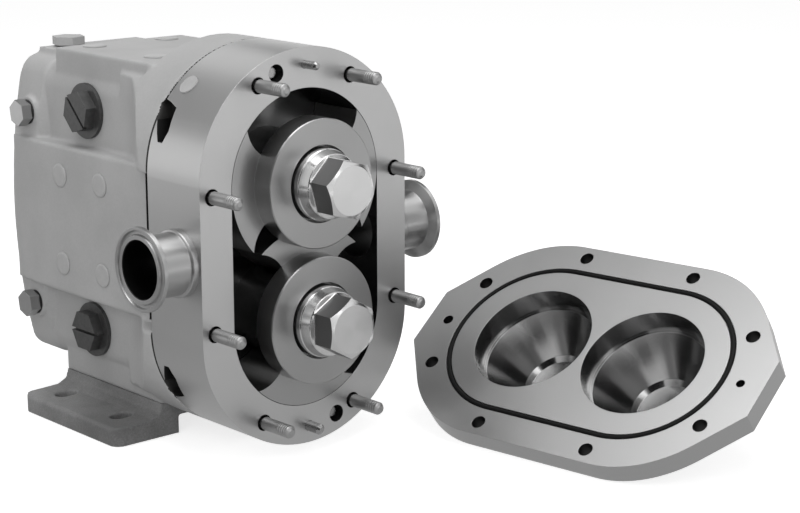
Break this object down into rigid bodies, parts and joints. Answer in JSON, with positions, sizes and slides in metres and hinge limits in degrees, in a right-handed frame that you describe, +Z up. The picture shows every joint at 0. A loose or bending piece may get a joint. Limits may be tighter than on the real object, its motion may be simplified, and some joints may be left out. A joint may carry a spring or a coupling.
{
  "type": "rotary lobe pump",
  "caption": "Rotary pump with winged rotors on fixed hubs in a bored body, side ports, a cast gear case on a slotted foot, and its front cover lying loose.",
  "frame": {"origin": "centre of the foot's underside, on the floor", "axes": "+Y along the shafts towards the drive end, +X across along the ports, +Z up; the front of the pump faces -Y"},
  "size_m": [0.3306, 0.5316, 0.2525],
  "materials": {
    "grey_enamel": "matt enamel over a sand casting",
    "stainless": "satin, machined",
    "grey_plastic": "painted over",
    "black_rubber": "matt",
    "seal_carbon": "lapped",
    "dark_steel": "blackened",
    "plated_steel": "zinc plated",
    "ground_steel": "ground and oiled"
  },
  "bodies": {
    "pump": {"mounting_foot": "grey_enamel", "foot_bolts": "plated_steel", "gear_case": "grey_enamel", "side_pad_plugs": "grey_plastic", "top_pad_plugs": "grey_plastic", "slotted_cleanout_plugs": "dark_steel", "oil_level_plugs": "plated_steel", "oil_plug_seals": "black_rubber", "breather_plug": "plated_steel", "drive_front_bearing_cup": "ground_steel", "drive_rear_bearing_cup": "ground_steel", "driven_front_bearing_cup": "ground_steel", "driven_rear_bearing_cup": "ground_steel", "drive_bearing_retainer": "ground_steel", "drive_front_lip_seal": "black_rubber", "driven_bearing_retainer": "ground_steel", "driven_front_lip_seal": "black_rubber", "retainer_screws": "plated_steel", "rear_cover": "grey_enamel", "rear_cover_bolts": "plated_steel", "drive_rear_lip_seal": "black_rubber", "pump_body": "stainless", "body_edge_plugs": "grey_plastic", "left_port_ferrule": "stainless", "right_port_ferrule": "stainless", "cover_studs": "stainless", "upper_dowel_pin": "stainless", "lower_dowel_pin": "stainless", "body_retaining_studs": "stainless", "body_retaining_nuts": "stainless", "drive_seal_seat": "seal_carbon", "driven_seal_seat": "seal_carbon"},
    "drive": {"drive_shaft": "stainless", "drive_gear_key": "ground_steel", "drive_rotor": "stainless", "drive_rotor_nut": "stainless", "drive_nut_disc_spring": "stainless", "drive_seal_ring": "seal_carbon", "drive_slinger": "black_rubber", "drive_front_bearing_cone": "ground_steel", "drive_rear_bearing_cone": "ground_steel", "drive_bearing_spacer": "ground_steel", "drive_timing_gear": "ground_steel", "drive_gear_lock_nut": "ground_steel"},
    "driven": {"driven_shaft": "stainless", "driven_gear_key": "ground_steel", "driven_rotor": "stainless", "driven_rotor_nut": "stainless", "driven_nut_disc_spring": "stainless", "driven_seal_ring": "seal_carbon", "driven_slinger": "black_rubber", "driven_front_bearing_cone": "ground_steel", "driven_rear_bearing_cone": "ground_steel", "driven_bearing_spacer": "ground_steel", "driven_timing_gear": "ground_steel", "driven_gear_lock_nut": "ground_steel"},
    "cover": {"front_cover": "stainless", "cover_seal_ring": "black_rubber"}
  },
  "joints": [
    {"name": "drive_spin", "type": "hinge", "parent": "pump", "child": "drive", "pos_m": [0, 0, 0.088], "axis": [0, 1, 0], "continuous": true},
    {"name": "driven_spin", "type": "hinge", "parent": "pump", "child": "driven", "pos_m": [0, 0, 0.172], "axis": [0, 1, 0], "continuous": true},
    {"name": "cover_lift", "type": "slide", "parent": "pump", "child": "cover", "axis": [0.6, 0, 0.8], "range_m": [0, 0.2]}
  ],
  "couplings": [
    {"joint": "driven_spin", "follows": "drive_spin", "ratio": -1}
  ]
}
